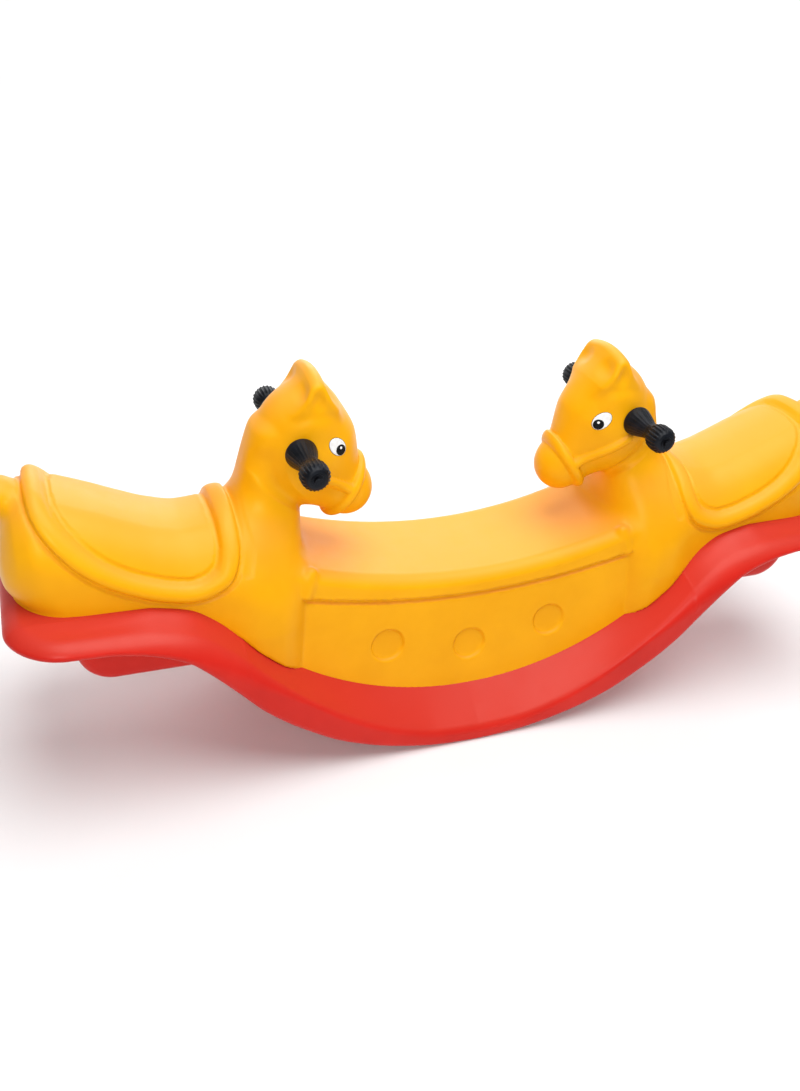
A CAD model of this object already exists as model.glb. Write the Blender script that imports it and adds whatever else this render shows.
import math

import bmesh
import bpy
import numpy as np
import openvdb
from mathutils import Matrix, Vector
from mathutils.bvhtree import BVHTree


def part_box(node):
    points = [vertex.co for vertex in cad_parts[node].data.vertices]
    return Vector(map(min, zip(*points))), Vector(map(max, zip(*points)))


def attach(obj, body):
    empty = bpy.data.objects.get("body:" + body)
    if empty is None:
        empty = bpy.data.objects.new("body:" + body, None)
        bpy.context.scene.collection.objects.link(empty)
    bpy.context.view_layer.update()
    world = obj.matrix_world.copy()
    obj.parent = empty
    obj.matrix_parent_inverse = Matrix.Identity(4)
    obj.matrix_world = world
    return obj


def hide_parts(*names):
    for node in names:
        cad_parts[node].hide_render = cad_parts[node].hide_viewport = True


# The looks of a two-seat rocking seesaw: both ponies and the bench as one yellow moulding,
# a red rocker base, ribbed black grips and printed eyes. The two mouldings are worked out in
# millimetres as distance fields over one quarter of the toy, from its middle to +X and +Y: a
# field is negative inside a shape and grows away from it. The other quarters mirror this one.

MM = 0.001
QUICK_STEP, FULL_STEP = 3.0, 2.0
SAME_POINT = 0.005 * MM

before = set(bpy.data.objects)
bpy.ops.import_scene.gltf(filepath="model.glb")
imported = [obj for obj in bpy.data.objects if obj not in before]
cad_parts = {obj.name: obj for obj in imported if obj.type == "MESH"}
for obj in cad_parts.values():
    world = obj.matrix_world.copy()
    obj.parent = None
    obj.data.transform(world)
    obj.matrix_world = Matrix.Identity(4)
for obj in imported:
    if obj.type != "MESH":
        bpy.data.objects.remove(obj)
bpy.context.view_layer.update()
BODY = "root"


# ---- sizes, in millimetres ----------------------------------------------------------


def box_mm(node):
    low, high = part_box(node)
    return [value / MM for value in low], [value / MM for value in high]


BASE_HIGH = box_mm("rocker_base")[1]
GRIP_LOW, GRIP_HIGH = box_mm("grip_right_near")
HALF_LENGTH = BASE_HIGH[0]
BASE_HALF = BASE_HIGH[1]
BAR_X = (GRIP_LOW[0] + GRIP_HIGH[0]) / 2
BAR_Z = (GRIP_LOW[2] + GRIP_HIGH[2]) / 2
GRIP_SEAT = -GRIP_HIGH[1]

# The bench: its top and the tray below it are dipped circles in side view.
TRAY_HEIGHT, TRAY_RADIUS = 60.0, 439.0
BENCH_HEIGHT, BENCH_RADIUS, BENCH_LIP = 231.0, 705.0, 17.0
BENCH_END, BENCH_HALF, BENCH_LEAN, BENCH_SIDE = 262.0, 104.0, 0.11, 60.0
LIP_END, LIP_END_RADII, LIP_END_MELT = ((236, 94, 238), (228, 84, 266)), (5, 7), 9
FOOT_SINK, FLOOR_GAP = 3.0, 0.05
LIP_GROOVE_DROP, LIP_GROOVE_SAG, LIP_GROOVE_DEPTH, LIP_GROOVE_HALF = 30.0, 8.0, 4.2, 4.0
LIP_STEP, LIP_SAG_PLACE = 3.0, 240.0
RINGS = ((0.0, 122.0), (122.0, 141.0))
RING_RADIUS, RING_DEPTH, RING_WALL = 24.5, 4.0, 3.0

# The ponies' trunks. Heights and half widths along +X are (place, value) knots.
SADDLE_TOP = (
    (215, 284), (250, 304), (285, 326), (315, 335), (335, 336), (352, 333), (378, 331),
    (412, 338), (446, 351), (478, 365), (508, 377), (538, 388), (559, 392), (577, 387),
    (593, 374), (614, 336),
)
SADDLE_HALF = ((215, 108), (300, 107), (340, 102), (390, 99), (500, 99), (545, 95), (605, 84))
SADDLE_CORNER = ((215, 74), (300, 72), (350, 60), (420, 56), (520, 56), (605, 62))
SADDLE_CROWN, TRUNK_LEAN = 22.0, 0.05
CHEST_FRONT, CHEST_BULGE, CHEST_TOP, CHEST_FADE, CHEST_HALF = 252.0, 26.0, 244.0, 40.0, 100.0
CHEST_ROUND, RUMP_ROUND, RUMP_PAST_BASE = 14.0, 62.0, 2.0
RUMP_TUCK, RUMP_TUCK_REACH, RUMP_TUCK_RATE = 312.0, 50.0, 0.008
TAIL_INSET, TAIL_HEIGHT, TAIL_RADII, TAIL_MELT = 19.0, 378.0, (24, 28, 24), 16
# The side view of the saddle's rounded edge, from the ridge at its front round to the back,
# and of the soft fold in front of it.
PIPING = (
    (331, 430), (330, 366), (329, 330), (331, 306), (341, 284), (362, 271), (387, 268),
    (421, 276), (455, 290), (482, 306), (503, 323), (521, 342), (537, 363), (549, 389), (556, 440),
)
PIPING_HALF, PIPING_RISE, PIPING_CREASE, CREASE_HALF = 12.0, 9.5, 2.4, 4.0
NECK_FOLD = ((312, 440), (312, 350), (306, 312), (312, 285))
NECK_FOLD_DEPTH, NECK_FOLD_HALF = 2.5, 7.0

# The necks and heads. Places and half widths up +Z are (height, value) knots.
NECK_FRONT = ((200, 230), (260, 227), (320, 225), (380, 220), (450, 224))
NECK_BACK = ((200, 345), (260, 333), (320, 318), (380, 304), (430, 290), (460, 276))
NECK_HALF = ((200, 104), (250, 92), (300, 72), (340, 52), (370, 45), (460, 38))
NECK_SQUARENESS, NECK_TOP, NECK_TOP_ROUND = 2.4, 455.0, 20.0
NECK_MELT, CREST_MELT, HEAD_MELT = 42, 12, 4
CREST_PLACE, CREST_TOP, CREST_FALL = 211.0, 513.0, 8.0
CREST_EDGE, CREST_DEPTH, CREST_ROOT, CREST_LEAN = 6.0, 40.0, 440.0, 0.53
CREST_FALL_PLACE = 44.0
CREST_HALF = ((430, 20), (446, 30), (460, 40), (472, 47), (485, 49), (500, 47), (520, 43))
NOSEBAND_PLACE, NOSEBAND_HEIGHT, NOSEBAND_HALF = 164.0, 344.0, 7.5
NOSEBAND_LEAN = (0.83, 0.56)
NOSEBAND_REACH, NOSEBAND_FADE = 78.0, 12.0
CHEEK_STRAP, CHEEK_STRAP_HALF = ((166, 356), (228, 397)), 7.0
BRIDLE_RISE = 6.5
JAW_LINE_DEPTH, JAW_LINE_HALF, JAW_LINE_TOP = 3.0, 10.0, 428.0

# The base: its tray, the rim round it and the stops under its ends.
TRAY_END = ((325, 203), (357, 227), (387, 245), (410, 252), (440, 257), (606, 259))
RIM_TOP = (
    (0, 20), (60, 24), (122, 42), (188, 76), (252, 122), (298, 160), (342, 198), (384, 226),
    (412, 237), (458, 247), (500, 252), (555, 257), (606, 261),
)
RIM_LOW = (
    (0, -4), (60, 0), (120, 11), (192, 35), (257, 73), (305, 111), (342, 151), (380, 190),
    (398, 205), (431, 220), (457, 227), (492, 232), (606, 236),
)
RIM_ROUND_MIDDLE, RIM_ROUND_END = 6.0, 27.0
RIM_UNDERSIDE_ROUND = 9.0
LEDGE_START = 104.0
STOP_PLACE, STOP_HALF, STOP_LOW, STOP_TOP, STOP_SIDE = 430.0, 94.0, 152.0, 246.0, 94.0
STOP_ROUND = 46.0
PLAN_CORNER = 74.0
LEDGE_DISH = 3.0
BOLT_WELLS, BOLT_SIDE, WELL_RADIUS = ((90.0, 54.3), (462.0, 247.0)), 45.0, 12.5


def smooth_curve(knots):
    """A function through the knots that never overshoots them (monotone cubic)."""
    place, value = np.array(knots, float).T
    step = np.diff(place)
    rise = np.diff(value) / step
    slope = np.zeros_like(value)
    slope[0], slope[-1] = rise[0], rise[-1]
    same = rise[:-1] * rise[1:] > 0
    slope[1:-1][same] = 2 / (1 / rise[:-1][same] + 1 / rise[1:][same])

    def at(x):
        x = np.clip(x, place[0], place[-1])
        index = np.clip(np.searchsorted(place, x) - 1, 0, len(step) - 1)
        t = (x - place[index]) / step[index]
        start = (1 + 2 * t) * (1 - t) ** 2 * value[index] + t * (1 - t) ** 2 * step[index] * slope[index]
        stop = t * t * (3 - 2 * t) * value[index + 1] + t * t * (t - 1) * step[index] * slope[index + 1]
        return start + stop

    return at


def steepness(height, x):
    """How much longer a sloping line is than its run, for turning heights into distances."""
    return np.sqrt(1 + np.gradient(height, x) ** 2)


# ---- distance fields and their meshes ------------------------------------------------


def melt(a, b, reach):
    """The union of two shapes, with a soft fillet as wide as reach."""
    share = np.clip(0.5 + 0.5 * (b - a) / reach, 0, 1)
    return b + (a - b) * share - reach * share * (1 - share)


def meet(a, b, radius):
    """What two shapes share, with their common edge rounded to a radius."""
    over_a, over_b = np.maximum(a + radius, 0), np.maximum(b + radius, 0)
    return np.minimum(np.maximum(a, b), -radius) + np.hypot(over_a, over_b)


def bump(away, half):
    """A rounded ridge: 1 on its line and 0 at its half width."""
    return np.sqrt(np.clip(1 - (away / half) ** 2, 0, 1))


def soft_step(value):
    """0 below 0 and 1 above 1, with a soft climb between."""
    t = np.clip(value, 0, 1)
    return t * t * (3 - 2 * t)


def new_thing(name, points, faces):
    """A smooth-shaded mesh object from points in metres."""
    made = bpy.data.meshes.new(name)
    made.from_pydata(points, [], faces)
    made.shade_smooth()
    thing = bpy.data.objects.new(name, made)
    bpy.context.scene.collection.objects.link(thing)
    return thing


def face_outwards(thing):
    """Joins points that coincide in a closed mesh and turns its faces outwards."""
    work = bmesh.new()
    work.from_mesh(thing.data)
    bmesh.ops.remove_doubles(work, verts=work.verts, dist=SAME_POINT)
    bmesh.ops.recalc_face_normals(work, faces=work.faces)
    work.to_mesh(thing.data)
    work.free()
    return thing


class Block:
    """A regular grid over the quarter of space from x 0 and y 0, in millimetres."""

    def __init__(self, reach_x, reach_y, low, high, step):
        self.step, self.low = step, low
        self.along = np.arange(0, reach_x + step, step, dtype=np.float32)
        self.x = self.along[:, None, None]
        self.y = np.arange(0, reach_y + step, step, dtype=np.float32)[None, :, None]
        self.z = np.arange(low, high + step, step, dtype=np.float32)[None, None, :]

    def line(self, values):
        """Values along X, shaped to combine with the grid."""
        return values.astype(np.float32)[:, None, None]

    def ball(self, centre, radii):
        """A stretched ball."""
        parts = [(self.x - centre[0]), (self.y - centre[1]), (self.z - centre[2])]
        near = np.sqrt(sum((part / radius) ** 2 for part, radius in zip(parts, radii)))
        lean = np.sqrt(sum((part / radius**2) ** 2 for part, radius in zip(parts, radii)))
        return near * (near - 1) / np.maximum(lean, 1e-6)

    def rod(self, start, stop, start_radius, stop_radius):
        """A round-ended rod that may taper."""
        start, stop = np.array(start, float), np.array(stop, float)
        run = stop - start
        parts = [self.x - start[0], self.y - start[1], self.z - start[2]]
        share = sum(part * way for part, way in zip(parts, run)) / float(run @ run)
        share = np.clip(share, 0, 1)
        away = np.sqrt(sum((part - share * way) ** 2 for part, way in zip(parts, run)))
        return away - (start_radius + (stop_radius - start_radius) * share)

    def side_distance(self, points):
        """Distance in side view from a line through points, the same at every y."""
        x, z = self.x[:, 0, :], self.z[0]
        nearest = np.full((x.shape[0], z.shape[1]), np.inf, dtype=np.float32)
        for (x0, z0), (x1, z1) in zip(points, points[1:]):
            run_x, run_z = x1 - x0, z1 - z0
            share = ((x - x0) * run_x + (z - z0) * run_z) / (run_x**2 + run_z**2)
            share = np.clip(share, 0, 1)
            nearest = np.minimum(
                nearest, np.hypot(x - x0 - share * run_x, z - z0 - share * run_z))
        return nearest[:, None, :]

    def mesh(self, name, field):
        """The field's surface as a mesh object, mirrored to all four quarters."""
        field = np.concatenate([field[:0:-1], field], axis=0)
        field = np.concatenate([field[:, :0:-1], field], axis=1)
        edge = 4 * self.step
        grid = openvdb.FloatGrid(edge)
        grid.copyFromArray(np.clip(field, -edge, edge).astype(np.float32))
        points, quads = grid.convertToQuads(isovalue=0.0)
        corner = [-(field.shape[0] - 1) / 2, -(field.shape[1] - 1) / 2, self.low / self.step]
        points = (points + np.array(corner)) * self.step * MM
        return face_outwards(new_thing(name, points.tolist(), quads.tolist()))


def smooth_points(knots, steps=6):
    """More points on a soft curve (Catmull-Rom) through side-view knots."""
    knots = np.array(knots, float)
    ends = np.vstack([2 * knots[0] - knots[1], knots, 2 * knots[-1] - knots[-2]])
    points = []
    for a, b, c, d in zip(ends, ends[1:], ends[2:], ends[3:]):
        for t in np.arange(steps) / steps:
            points.append(0.5 * (
                2 * b + (c - a) * t + (2 * a - 5 * b + 4 * c - d) * t**2
                + (3 * b - a - 3 * c + d) * t**3))
    points.append(knots[-1])
    return points


# ---- the yellow moulding ------------------------------------------------------------


def on_circle(height, radius, x):
    """Height of a dipped circle whose lowest point is over the middle of the toy."""
    return height + radius - np.sqrt(np.maximum(radius**2 - x**2, 1.0))


def foot_height(x):
    """Height of the base's tray, which the ponies and the bench stand in."""
    arc_end = TRAY_END[0][0]
    arc = on_circle(TRAY_HEIGHT, TRAY_RADIUS, np.minimum(x, arc_end))
    return np.where(x < arc_end, arc, smooth_curve(TRAY_END)(x))


def bench_field(block, foot):
    """The bench, whose lip steps out over a groove, with ring marks sunk in its sides."""
    x = block.along
    top = on_circle(BENCH_HEIGHT, BENCH_RADIUS, x)
    slope = block.line(steepness(top, x))
    below_top = (block.line(top) - block.z) / slope
    half = BENCH_HALF - BENCH_LEAN * (block.z - foot)
    drop = block.line(LIP_GROOVE_DROP + LIP_GROOVE_SAG * (x / LIP_SAG_PLACE) ** 2)
    half = half + LIP_STEP * soft_step((drop + 1 - below_top) / LIP_STEP)
    field = meet(block.y - half, -below_top, BENCH_LIP)
    groove = LIP_GROOVE_DEPTH * bump(below_top - drop - 1.5, LIP_GROOVE_HALF)
    field = field + groove * soft_step((block.y - 70) / 8)
    at_side = block.y > BENCH_SIDE
    for x_ring, z_ring in RINGS:
        away = np.hypot(block.x - x_ring, block.z - z_ring)
        field = field + RING_DEPTH * soft_step((RING_RADIUS - away) / RING_WALL) * at_side
    return np.maximum(field, block.x - BENCH_END)


def trunk_field(block, foot):
    """The chest, flanks, saddle and rump of a pony."""
    x = block.along
    top = smooth_curve(SADDLE_TOP)(x)
    half = block.line(smooth_curve(SADDLE_HALF)(x))
    corner = block.line(smooth_curve(SADDLE_CORNER)(x))
    crown = SADDLE_CROWN * (block.y / half) ** 2
    up = (block.z - block.line(top) + crown) / block.line(steepness(top, x))
    lean = TRUNK_LEAN * np.maximum(block.z - foot, 0)
    field = meet(block.y - half + lean, up, corner)
    bulge = CHEST_BULGE * (1 - soft_step((block.z - CHEST_TOP) / CHEST_FADE))
    chest_front = CHEST_FRONT - bulge * (1 - (block.y / CHEST_HALF) ** 2)
    field = meet(field, chest_front - block.x, CHEST_ROUND)
    tuck = np.clip(RUMP_TUCK - block.z, 0, RUMP_TUCK_REACH)
    past_rump = block.x - (HALF_LENGTH + RUMP_PAST_BASE) + RUMP_TUCK_RATE * tuck**2
    return meet(field, past_rump, RUMP_ROUND)


def saddle_relief(block, field):
    """Adds the saddle's rounded edge and the soft fold where the neck starts."""
    away = block.side_distance(smooth_points(PIPING))
    field = field - PIPING_RISE * bump(away, PIPING_HALF)
    field = field + PIPING_CREASE * bump(away - PIPING_HALF - CREASE_HALF / 2, CREASE_HALF)
    fold = block.side_distance(smooth_points(NECK_FOLD))
    return field + NECK_FOLD_DEPTH * bump(fold, NECK_FOLD_HALF)


def neck_field(block):
    """Level oval sections, wide at the chest and slim under the jaw."""
    z = block.z[0, 0].astype(float)
    front, back = smooth_curve(NECK_FRONT)(z), smooth_curve(NECK_BACK)(z)
    half, middle, reach = (
        level.astype(np.float32)
        for level in (smooth_curve(NECK_HALF)(z), (front + back) / 2, (back - front) / 2))
    across = np.abs(block.y / half) ** NECK_SQUARENESS
    along = np.abs((block.x - middle) / reach) ** NECK_SQUARENESS
    field = ((across + along) ** (1 / NECK_SQUARENESS) - 1) * np.minimum(half, reach)
    return meet(field, block.z - NECK_TOP, NECK_TOP_ROUND)


def head_field(block):
    """A head of melted balls and rods, before the crest is added."""
    brain = block.ball((220, 0, 440), (49, 53, 49))
    crown = block.ball((213, 0, 451), (40, 53, 35))
    skull = block.ball((219, 0, 415), (67, 55, 61))
    cheek = block.ball((226, 0, 390), (64, 57, 62))
    jaw = block.rod((213, 0, 371), (180, 0, 350), 44, 36)
    face = block.rod((197, 0, 405), (167, 0, 352), 43, 34)
    muzzle = block.ball((160, 0, 341), (36.5, 36, 37.5))
    field = melt(melt(skull, melt(brain, crown, 8), 14), cheek, 16)
    field = melt(melt(field, face, 18), jaw, 8)
    field = melt(field, muzzle, 8)
    return bridle_relief(block, field)


def bridle_relief(block, field):
    """The raised noseband and the cheek strap that runs back to the grip."""
    x, z = block.x - NOSEBAND_PLACE, block.z - NOSEBAND_HEIGHT
    away = NOSEBAND_LEAN[0] * x + NOSEBAND_LEAN[1] * z
    reach = np.sqrt(x**2 + block.y**2 + z**2)
    band = bump(away, NOSEBAND_HALF) * soft_step((NOSEBAND_REACH - reach) / NOSEBAND_FADE)
    strap = bump(block.side_distance(CHEEK_STRAP), CHEEK_STRAP_HALF)
    strap = strap * soft_step((block.y - 22) / 10)
    return field - BRIDLE_RISE * np.maximum(band, strap)


def crest_field(block):
    """The ears: an upright fin across the head with hollow faces and hollow ends."""
    half = smooth_curve(CREST_HALF)(block.z[0, 0].astype(float)).astype(np.float32)
    ridge = CREST_TOP - CREST_FALL * (block.y / CREST_FALL_PLACE) ** 2
    below = np.clip(ridge - block.z, 0, CREST_DEPTH)
    spread = CREST_EDGE + CREST_LEAN * below
    fin = (np.abs(block.x - CREST_PLACE) - spread) / math.hypot(1, CREST_LEAN)
    fin = meet(fin, block.z - ridge, CREST_EDGE)
    fin = np.maximum(meet(fin, block.y - half, CREST_EDGE), CREST_ROOT - block.z)
    fin = -melt(-fin, block.ball((CREST_PLACE, 63, 482), (10, 18, 22)), 7)
    for side in (-1, 1):
        dent = block.ball((CREST_PLACE + 28 * side, 30, 494), (14, 18, 16))
        fin = -melt(-fin, dent, 8)
    return fin


def pony_moulding(step):
    """Both ponies and the bench, cut off just inside the base's tray."""
    block = Block(HALF_LENGTH + 12, 124, 46, 526, step)
    foot = block.line(foot_height(block.along))
    trunk = saddle_relief(block, trunk_field(block, foot))
    tail = block.ball((HALF_LENGTH - TAIL_INSET, 0, TAIL_HEIGHT), TAIL_RADII)
    pony = melt(melt(trunk, tail, TAIL_MELT), neck_field(block), NECK_MELT)
    head = melt(head_field(block), crest_field(block), CREST_MELT)
    jaw_line = bump(head - pony, JAW_LINE_HALF) * soft_step((block.y - 18) / 14)
    jaw_line = jaw_line * soft_step((JAW_LINE_TOP - block.z) / 24)
    pony = melt(pony, head, HEAD_MELT) + JAW_LINE_DEPTH * jaw_line
    lip_end = block.rod(*LIP_END, *LIP_END_RADII)
    bench = melt(bench_field(block, foot), lip_end, LIP_END_MELT)
    both = melt(pony, bench, 3 + 17 * soft_step((90 - block.y) / 24))
    return block.mesh("pony_moulding", np.maximum(both, foot - FOOT_SINK - block.z))


# ---- the red base -------------------------------------------------------------------


def base_moulding(step):
    """The tray with its sloping ledge and rounded rim, two stops and the bolt wells."""
    block = Block(HALF_LENGTH + 6, BASE_HALF + 6, -6, 280, step)
    x = block.along
    tray, rim, low = foot_height(x), smooth_curve(RIM_TOP)(x), smooth_curve(RIM_LOW)(x)
    reach = BASE_HALF - LEDGE_START
    share = np.clip((block.y - LEDGE_START) / reach, 0, 1)
    top = block.line(tray) + block.line(rim - tray) * share
    dish = LEDGE_DISH * np.sin(np.pi * share) * soft_step((block.x - 330) / 90)
    lean = np.sqrt(1 + np.gradient(tray, x) ** 2 + ((tray - rim) / reach) ** 2)
    above = (block.z - top + dish) / block.line(lean)
    below = (block.line(low) - block.z) / block.line(steepness(low, x))
    out_x = np.maximum(block.x - (HALF_LENGTH - PLAN_CORNER), 0)
    out_y = np.maximum(block.y - (BASE_HALF - PLAN_CORNER), 0)
    plan = np.hypot(out_x, out_y) - PLAN_CORNER
    widen = soft_step((block.x - 240) / 160)
    field = meet(plan, above, RIM_ROUND_MIDDLE + (RIM_ROUND_END - RIM_ROUND_MIDDLE) * widen)
    field = meet(field, below, RIM_UNDERSIDE_ROUND)
    stop = meet(np.abs(block.x - STOP_PLACE) - STOP_HALF, STOP_LOW - block.z, STOP_ROUND)
    stop = meet(meet(stop, block.y - STOP_SIDE, 14), block.z - STOP_TOP, 4)
    field = melt(field, stop, 10)
    for place, seat in BOLT_WELLS:
        well = np.hypot(block.x - place, block.y - BOLT_SIDE) - WELL_RADIUS
        field = np.maximum(field, -np.maximum(well, block.z - seat))
    return block.mesh("base_moulding", np.maximum(field, FLOOR_GAP - block.z))


# ---- grips --------------------------------------------------------------------------

# Radius and distance from the seat, from the middle of the seat round to the screw's hole.
GRIP_PROFILE = (
    (0.0, 0), (19.4, 0), (20.4, 1.5), (20.2, 4), (18.8, 9), (16.6, 16), (14.2, 24), (12.2, 31),
    (11.2, 37), (11.5, 42), (13.2, 46), (15.2, 50), (16.4, 54), (16.8, 60), (16.6, 67),
    (15.4, 71.5), (12.8, 75), (9, 76), (5.5, 76), (4.6, 74), (0.0, 74),
)
GRIP_RIBS, POINTS_PER_RIB, PROFILE_STEP = 22, 8, 1.2


def rib_height(along):
    """How far the ribs stand out at a distance along the grip."""
    on_cone = 0.35 * soft_step((along - 6) / 5) * soft_step((42 - along) / 6)
    on_knob = 1.7 * soft_step((along - 46) / 5) * soft_step((74 - along) / 5)
    return on_cone + on_knob


def grip_mesh(name, side_x, side_y):
    """A turned grip with ribs along it, on its seat on the side of a head."""
    around = GRIP_RIBS * POINTS_PER_RIB
    rows = []
    for (r0, s0), (r1, s1) in zip(GRIP_PROFILE, GRIP_PROFILE[1:]):
        count = max(1, round(math.hypot(r1 - r0, s1 - s0) / PROFILE_STEP))
        rows += [(r0 + (r1 - r0) * i / count, s0 + (s1 - s0) * i / count) for i in range(count)]
    rows.append(GRIP_PROFILE[-1])
    points = []
    for radius, along in rows:
        for index in range(around):
            turn = 2 * math.pi * index / around
            tooth = max(0.0, math.cos(GRIP_RIBS * turn)) ** 0.7
            wide = radius + (rib_height(along) * tooth if radius > 4 else 0)
            points.append(Vector((
                side_x * (BAR_X + side_x * wide * math.cos(turn)),
                side_y * (GRIP_SEAT + along), BAR_Z + wide * math.sin(turn))) * MM)
    quads = []
    for row in range(len(rows) - 1):
        for index in range(around):
            beside = (index + 1) % around
            quads.append((row * around + index, row * around + beside,
                          (row + 1) * around + beside, (row + 1) * around + index))
    return face_outwards(new_thing(name, points, quads))


# ---- eyes ---------------------------------------------------------------------------

EYE_PLACE, EYE_HEIGHT, EYE_TILT = 187.0, 422.5, math.radians(46)
EYE_SHEET_REACH, FILM_UNDERSIDE = 18.0, -1.0
# Each printed layer: name, half sizes, place along and across the oval, lift, film colour and
# the CAD node it stands for.
EYE_LAYERS = (
    ("rim", (14.8, 9.8), (0, 0), 0.3, "black", ""),
    ("white", (14.3, 9.3), (0, 0), 0.55, "white", "eye_white"),
    ("pupil", (7.2, 6.5), (-6.4, -0.4), 0.8, "black", "eye_pupil"),
    ("glint", (1.7, 1.5), (-4.6, 1.6), 1.05, "white", ""),
)


def eye_skin(skin, side_y):
    """A smooth sheet over the head round one eye, from a cubic fitted to the moulding."""
    spots = []
    places = np.linspace(-EYE_SHEET_REACH, EYE_SHEET_REACH, 9)
    for u in places:
        for v in places:
            x, z = EYE_PLACE + u, EYE_HEIGHT + v
            spot = skin.ray_cast(Vector((x * MM, side_y * 0.2, z * MM)), Vector((0, -side_y, 0)))[0]
            spots.append((u, v, abs(spot.y) / MM))
    u, v, y = np.array(spots).T
    powers = [(i, j) for i in range(4) for j in range(4 - i)]
    weights = np.linalg.lstsq(
        np.stack([u**i * v**j for i, j in powers], axis=1), y, rcond=None)[0]

    def at(x, z):
        u, v = x - EYE_PLACE, z - EYE_HEIGHT
        return sum(weight * u**i * v**j for weight, (i, j) in zip(weights, powers))

    return at


def decal(name, sheet, side_x, side_y, centre, half_sizes, lift):
    """A thin printed patch that lies on the head, oval in side view."""
    rings, around = 8, 64
    top, under = [], []
    for ring in range(rings + 1):
        for index in range(around if ring else 1):
            turn = 2 * math.pi * index / around
            u = half_sizes[0] * ring / rings * math.cos(turn)
            v = half_sizes[1] * ring / rings * math.sin(turn)
            x = centre[0] + u * math.cos(EYE_TILT) - v * math.sin(EYE_TILT)
            z = centre[1] + u * math.sin(EYE_TILT) + v * math.cos(EYE_TILT)
            y = sheet(x, z)
            out = Vector((y - sheet(x + 1, z), 1, y - sheet(x, z + 1))).normalized()
            for layer, height in ((top, lift), (under, FILM_UNDERSIDE)):
                spot = Vector((x, y, z)) + out * height
                layer.append(Vector((side_x * spot.x, side_y * spot.y, spot.z)) * MM)
    faces = []
    for shift in (0, len(top)):
        faces += [(shift, shift + 1 + i, shift + 1 + (i + 1) % around) for i in range(around)]
        for ring in range(1, rings):
            inner, outer = shift + 1 + (ring - 1) * around, shift + 1 + ring * around
            for i in range(around):
                j = (i + 1) % around
                faces.append((inner + i, outer + i, outer + j, inner + j))
    last = 1 + (rings - 1) * around
    for i in range(around):
        j = (i + 1) % around
        faces.append((last + i, last + j, last + j + len(top), last + i + len(top)))
    return face_outwards(new_thing(name, top + under, faces))


# ---- materials ----------------------------------------------------------------------


def new_material(name):
    """An empty material with its node tree and shader."""
    material = bpy.data.materials.new(name)
    material.use_nodes = True
    nodes = material.node_tree.nodes
    shader = next(node for node in nodes if node.type == "BSDF_PRINCIPLED")
    return material, material.node_tree, shader


def add_node(tree, kind, inputs=(), **settings):
    """A new node; an input that is another node's socket is linked, and a value is set."""
    node = tree.nodes.new(kind)
    for key, value in settings.items():
        setattr(node, key, value)
    for socket, value in dict(inputs).items():
        if isinstance(value, bpy.types.NodeSocket):
            tree.links.new(value, node.inputs[socket])
        else:
            node.inputs[socket].default_value = value
    return node


def colour_between(tree, factor, dark, light, low=0.35, high=0.65):
    """A ramp from one colour to another as a factor climbs."""
    ramp = add_node(tree, "ShaderNodeValToRGB", {"Fac": factor})
    ramp.color_ramp.elements[0].position, ramp.color_ramp.elements[1].position = low, high
    ramp.color_ramp.elements[0].color = (*dark, 1)
    ramp.color_ramp.elements[1].color = (*light, 1)
    return ramp.outputs["Color"]


def level_between(tree, factor, low, high):
    """A level that follows a noise factor, which stays mostly between 0.3 and 0.7."""
    node = add_node(tree, "ShaderNodeMapRange", {
        "Value": factor, "From Min": 0.3, "From Max": 0.7, "To Min": low, "To Max": high})
    return node.outputs["Result"]


def moulded_plastic(name, dark, light, paled, gloss, sheen_tint):
    """Moulded plastic: faint clouding, a fine grain, light scuffs and tops paled by the sun."""
    material, tree, shader = new_material(name)
    spot = add_node(tree, "ShaderNodeTexCoord")
    place = spot.outputs["Object"]
    cloud = add_node(tree, "ShaderNodeTexNoise", {
        "Vector": place, "Scale": 9.0, "Detail": 4.0, "Roughness": 0.55}).outputs["Fac"]
    peel = add_node(tree, "ShaderNodeTexNoise", {
        "Vector": place, "Scale": 420.0, "Detail": 2.0}).outputs["Fac"]
    scuff = add_node(tree, "ShaderNodeTexNoise", {
        "Vector": place, "Scale": 38.0, "Detail": 6.0, "Roughness": 0.7}).outputs["Fac"]
    up = add_node(tree, "ShaderNodeSeparateXYZ", {"Vector": spot.outputs["Normal"]}).outputs["Z"]
    sunlit = add_node(tree, "ShaderNodeMapRange", {
        "Value": up, "From Min": 0.3, "From Max": 0.95}, interpolation_type="SMOOTHSTEP")
    body = colour_between(tree, cloud, dark, light)
    # The node's colour sockets share their names with others, so they go by number.
    mix = add_node(tree, "ShaderNodeMix", {
        0: sunlit.outputs["Result"], 6: body, 7: (*paled, 1)}, data_type="RGBA")
    tree.links.new(mix.outputs[2], shader.inputs["Base Color"])
    tree.links.new(level_between(tree, scuff, gloss - 0.05, gloss + 0.07), shader.inputs["Roughness"])
    relief = add_node(tree, "ShaderNodeBump", {"Height": peel, "Strength": 0.08, "Distance": 0.0006})
    tree.links.new(relief.outputs["Normal"], shader.inputs["Normal"])
    shader.inputs["Specular Tint"].default_value = (*sheen_tint, 1)
    shader.inputs["Specular IOR Level"].default_value = 0.25
    return material


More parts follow.
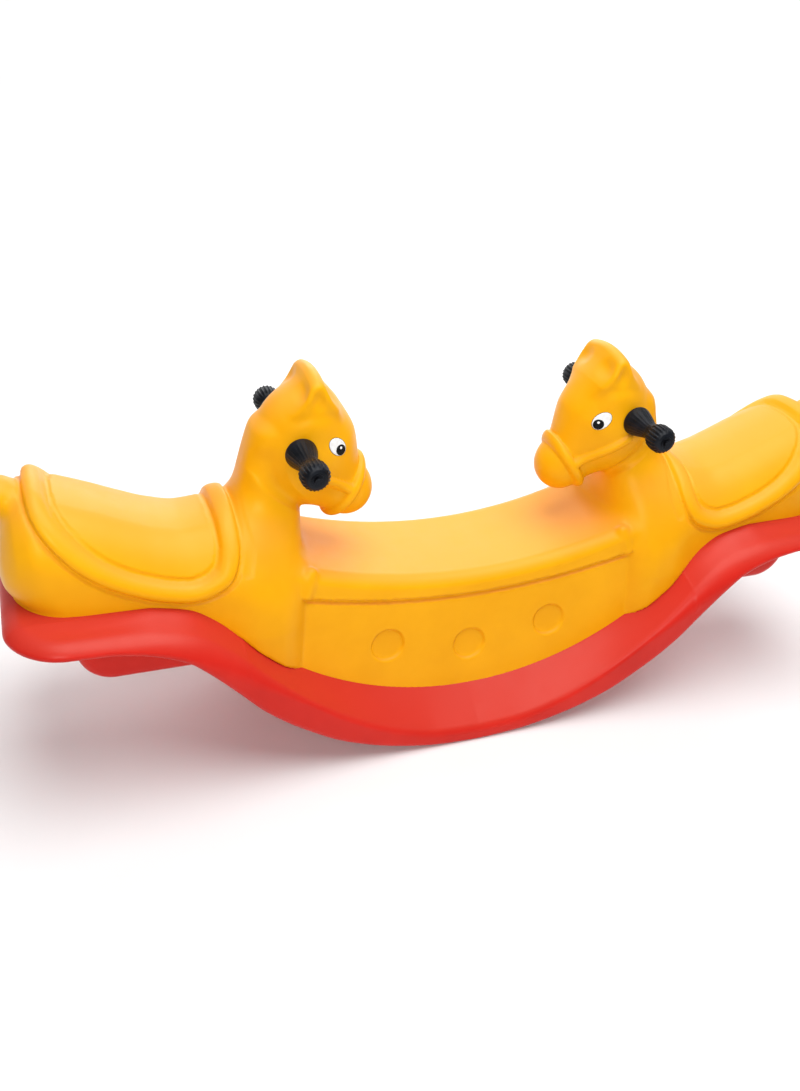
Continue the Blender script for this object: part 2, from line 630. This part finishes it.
def soft_black(name):
    """Black soft plastic with a matte bloom and a fine grain."""
    material, tree, shader = new_material(name)
    place = add_node(tree, "ShaderNodeTexCoord").outputs["Object"]
    cloud = add_node(tree, "ShaderNodeTexNoise", {
        "Vector": place, "Scale": 60.0, "Detail": 5.0}).outputs["Fac"]
    grain = add_node(tree, "ShaderNodeTexNoise", {
        "Vector": place, "Scale": 900.0, "Detail": 2.0}).outputs["Fac"]
    tree.links.new(
        colour_between(tree, cloud, (0.002, 0.003, 0.005), (0.006, 0.008, 0.013)),
        shader.inputs["Base Color"])
    tree.links.new(level_between(tree, cloud, 0.34, 0.48), shader.inputs["Roughness"])
    shader.inputs["Specular IOR Level"].default_value = 0.2
    relief = add_node(tree, "ShaderNodeBump", {
        "Height": grain, "Strength": 0.2, "Distance": 0.0004})
    tree.links.new(relief.outputs["Normal"], shader.inputs["Normal"])
    return material


def worked_metal(name, dark, light, gloss):
    """Drawn or plated metal, streaked along its length."""
    material, tree, shader = new_material(name)
    place = add_node(tree, "ShaderNodeTexCoord").outputs["Object"]
    stretched = add_node(tree, "ShaderNodeMapping", {
        "Vector": place, "Scale": (90.0, 4.0, 90.0)}).outputs["Vector"]
    streak = add_node(tree, "ShaderNodeTexNoise", {
        "Vector": stretched, "Scale": 14.0, "Detail": 4.0}).outputs["Fac"]
    tree.links.new(colour_between(tree, streak, dark, light), shader.inputs["Base Color"])
    tree.links.new(level_between(tree, streak, gloss - 0.08, gloss + 0.1), shader.inputs["Roughness"])
    relief = add_node(tree, "ShaderNodeBump", {
        "Height": streak, "Strength": 0.15, "Distance": 0.0002})
    tree.links.new(relief.outputs["Normal"], shader.inputs["Normal"])
    shader.inputs["Metallic"].default_value = 1.0
    return material


def printed_film(name, dark, light, shine):
    """Smooth printed film."""
    material, tree, shader = new_material(name)
    place = add_node(tree, "ShaderNodeTexCoord").outputs["Object"]
    cloud = add_node(tree, "ShaderNodeTexNoise", {
        "Vector": place, "Scale": 220.0, "Detail": 3.0}).outputs["Fac"]
    tree.links.new(colour_between(tree, cloud, dark, light), shader.inputs["Base Color"])
    tree.links.new(level_between(tree, cloud, 0.22, 0.32), shader.inputs["Roughness"])
    shader.inputs["Specular IOR Level"].default_value = shine
    return material


YELLOW = moulded_plastic(
    "yellow_plastic", (0.85, 0.37, 0.002), (0.91, 0.415, 0.004), (0.85, 0.345, 0.030), 0.36,
    (1.0, 0.86, 0.42))
RED = moulded_plastic(
    "red_plastic", (0.57, 0.013, 0.007), (0.65, 0.018, 0.010), (0.55, 0.034, 0.020), 0.36,
    (1.0, 0.78, 0.72))
BLACK = soft_black("grip_plastic")
WHITE_FILM = printed_film("eye_white_film", (0.84, 0.84, 0.83), (0.93, 0.93, 0.92), 0.4)
BLACK_FILM = printed_film("eye_black_film", (0.003, 0.003, 0.004), (0.008, 0.008, 0.009), 0.12)
STEEL = worked_metal("drawn_steel", (0.42, 0.43, 0.45), (0.58, 0.59, 0.60), 0.32)
ZINC = worked_metal("zinc_plate", (0.50, 0.50, 0.47), (0.66, 0.66, 0.62), 0.36)
BLACKENED = worked_metal("blackened_steel", (0.012, 0.013, 0.016), (0.03, 0.032, 0.038), 0.45)
BRASS = worked_metal("insert_brass_metal", (0.52, 0.36, 0.13), (0.70, 0.52, 0.22), 0.34)


def paint(thing, material):
    thing.data.materials.clear()
    thing.data.materials.append(material)


# ---- the whole toy ------------------------------------------------------------------


def show(thing, material, slot, *nodes):
    """Paints a piece, lets it ride on the toy's one body and stand for its CAD nodes."""
    paint(thing, material)
    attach(thing, BODY)
    if nodes:
        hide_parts(*nodes)
    return thing


def eye(skin, pony, side, side_x, side_y):
    """The printed layers of one eye."""
    films = {"black": (BLACK_FILM, "eye_black"), "white": (WHITE_FILM, "eye_white")}
    sheet = eye_skin(skin, side_y)
    for layer, half_sizes, (along, across), lift, colour, node in EYE_LAYERS:
        middle = (
            EYE_PLACE + along * math.cos(EYE_TILT) - across * math.sin(EYE_TILT),
            EYE_HEIGHT + along * math.sin(EYE_TILT) + across * math.cos(EYE_TILT),
        )
        patch = decal(f"eye_{layer}_print_{pony}_{side}", sheet, side_x, side_y,
                      middle, half_sizes, lift)
        film, slot = films[colour]
        show(patch, film, slot, *([f"{node}_{pony}_{side}"] if node else []))


def build_toy():
    step = FULL_STEP
    ponies = show(pony_moulding(step), YELLOW, "yellow_shell", "pony_body")
    show(base_moulding(step), RED, "red_shell", "rocker_base")
    shape = ponies.data
    skin = BVHTree.FromPolygons(
        [vertex.co for vertex in shape.vertices], [face.vertices for face in shape.polygons])
    for pony, side_x in (("left", -1), ("right", 1)):
        for side, side_y in (("near", -1), ("far", 1)):
            node = f"grip_{pony}_{side}"
            show(grip_mesh(f"{node}_ribbed", side_x, side_y), BLACK, "grip_rubber", node)
            eye(skin, pony, side, side_x, side_y)
    fittings = {
        "handlebar_left": STEEL, "handlebar_right": STEEL, "grip_screws": BLACKENED,
        "grip_washers": BLACKENED, "base_bolts": ZINC, "base_washers": ZINC,
        "thread_inserts": BRASS, "vent_plugs": RED,
    }
    for node, material in fittings.items():
        paint(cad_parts[node], material)


# ---- floor, light and camera --------------------------------------------------------


def floor():
    """A wide pale floor that curves up behind the toy."""
    front, deep, tall, half_width = -6.0, 4.0, 6.0, 9.0
    bend, steps, below_toy = 1.5, 24, 0.0005
    line = [(front, 0.0), (deep - bend, 0.0)]
    for index in range(1, steps + 1):
        turn = math.pi / 2 * index / steps
        line.append((deep - bend + bend * math.sin(turn), bend - bend * math.cos(turn)))
    line.append((deep, tall))
    points = [(x, y, z - below_toy) for y, z in line for x in (-half_width, half_width)]
    quads = [(2 * i, 2 * i + 1, 2 * i + 3, 2 * i + 2) for i in range(len(line) - 1)]
    sheet = new_thing("floor", points, quads)
    material, tree, shader = new_material("pale_floor")
    place = add_node(tree, "ShaderNodeTexCoord").outputs["Object"]
    cloud = add_node(tree, "ShaderNodeTexNoise", {"Vector": place, "Scale": 3.0}).outputs["Fac"]
    tree.links.new(colour_between(tree, cloud, (0.80, 0.80, 0.80), (0.82, 0.82, 0.82)),
                   shader.inputs["Base Color"])
    shader.inputs["Roughness"].default_value = 0.9
    paint(sheet, material)


def soft_lamp(name, place, aim, width, watts):
    """A round area lamp; lengths in metres."""
    data = bpy.data.lights.new(name, "AREA")
    data.shape, data.size, data.energy = "DISK", width, watts
    lamp = bpy.data.objects.new(name, data)
    lamp.location = place
    lamp.rotation_euler = (Vector(aim) - Vector(place)).to_track_quat("-Z", "Y").to_euler()
    bpy.context.scene.collection.objects.link(lamp)


def light_studio():
    """An even white sky, lamps on the toy from three sides and two on the backdrop."""
    world = bpy.data.worlds.new("studio")
    world.use_nodes = True
    sky = next(node for node in world.node_tree.nodes if node.type == "BACKGROUND")
    sky.inputs["Color"].default_value = (1.0, 1.0, 1.0, 1)
    sky.inputs["Strength"].default_value = 0.24
    bpy.context.scene.world = world
    bpy.context.scene.view_settings.view_transform = "Standard"
    soft_lamp("top", (0.1, -0.4, 2.5), (0, 0, 0.2), 2.4, 66)
    soft_lamp("front", (-1.2, -2.7, 1.9), (0, 0, 0.25), 1.1, 36)
    soft_lamp("back", (0.4, 2.3, 1.7), (0, 0, 0.25), 1.8, 14)
    soft_lamp("backdrop", (0.5, 1.6, 2.6), (0.9, 3.6, 0.6), 2.4, 60)
    soft_lamp("backdrop_right", (2.4, 1.8, 2.6), (3.9, 3.8, 0.9), 2.4, 75)


# The camera was fitted to both ponies: place in metres, turn, dip and roll in degrees, and
# sensor and lens in millimetres.
CAMERA_PLACE = (-0.548, -1.184, 0.971)
CAMERA_TURN, CAMERA_DIP, CAMERA_ROLL = -21.76, 29.93, 3.78
CAMERA_SENSOR, CAMERA_LENS = 36.0, 34.647


def place_camera():
    """The camera that the toy is shown through."""
    turn, dip, roll = (math.radians(v) for v in (CAMERA_TURN, CAMERA_DIP, CAMERA_ROLL))
    ahead = Vector((-math.sin(turn) * math.cos(dip), math.cos(turn) * math.cos(dip), -math.sin(dip)))
    right = ahead.cross(Vector((0, 0, 1))).normalized()
    up = right.cross(ahead)
    right, up = (right * math.cos(roll) + up * math.sin(roll),
                 up * math.cos(roll) - right * math.sin(roll))
    data = bpy.data.cameras.new("camera")
    data.sensor_width, data.lens, data.clip_end = CAMERA_SENSOR, CAMERA_LENS, 50.0
    camera = bpy.data.objects.new("camera", data)
    turned = Matrix((right, up, -ahead)).transposed().to_4x4()
    camera.matrix_world = Matrix.Translation(CAMERA_PLACE) @ turned
    bpy.context.scene.collection.objects.link(camera)
    bpy.context.scene.camera = camera


build_toy()
floor()
light_studio()
place_camera()
